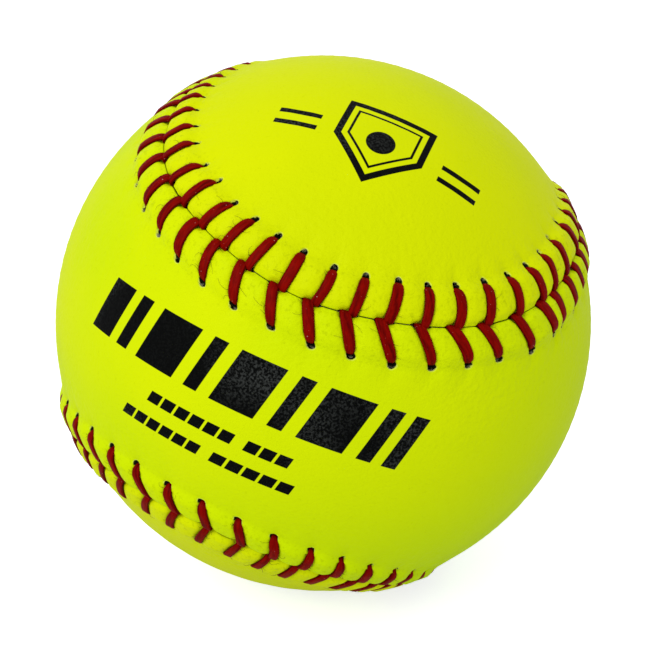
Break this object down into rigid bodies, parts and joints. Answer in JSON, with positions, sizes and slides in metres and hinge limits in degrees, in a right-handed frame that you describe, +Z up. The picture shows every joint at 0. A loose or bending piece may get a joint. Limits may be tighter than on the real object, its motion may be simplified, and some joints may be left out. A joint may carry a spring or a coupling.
{
  "type": "softball",
  "caption": "Large softball: interlocking figure-eight leather panels in optic yellow, joined by a raised seam with red herringbone stitching, over a yarn-wound moulded core.",
  "frame": {"origin": "centre of the ball", "axes": "+Z up as the ball lies, resting on bare cover; -Y towards the front panel's waist and +Y towards the crown panel's waist; +X to the right seen from the front"},
  "size_m": [0.1132, 0.1132, 0.1132],
  "materials": {
    "cover": "satin optic yellow synthetic leather with a fine grain and plain black printed marks",
    "thread": "waxed dark red plied thread",
    "cement": "dried rubber cement",
    "yarn": "wound cotton and polyester yarn",
    "core_foam": "moulded closed-cell foam"
  },
  "bodies": {
    "root": {"core": "core_foam", "yarn_winding": "yarn", "cement_coat": "cement", "front_panel": "cover", "crown_panel": "cover", "first_thread": "thread", "second_thread": "thread"}
  },
  "joints": []
}
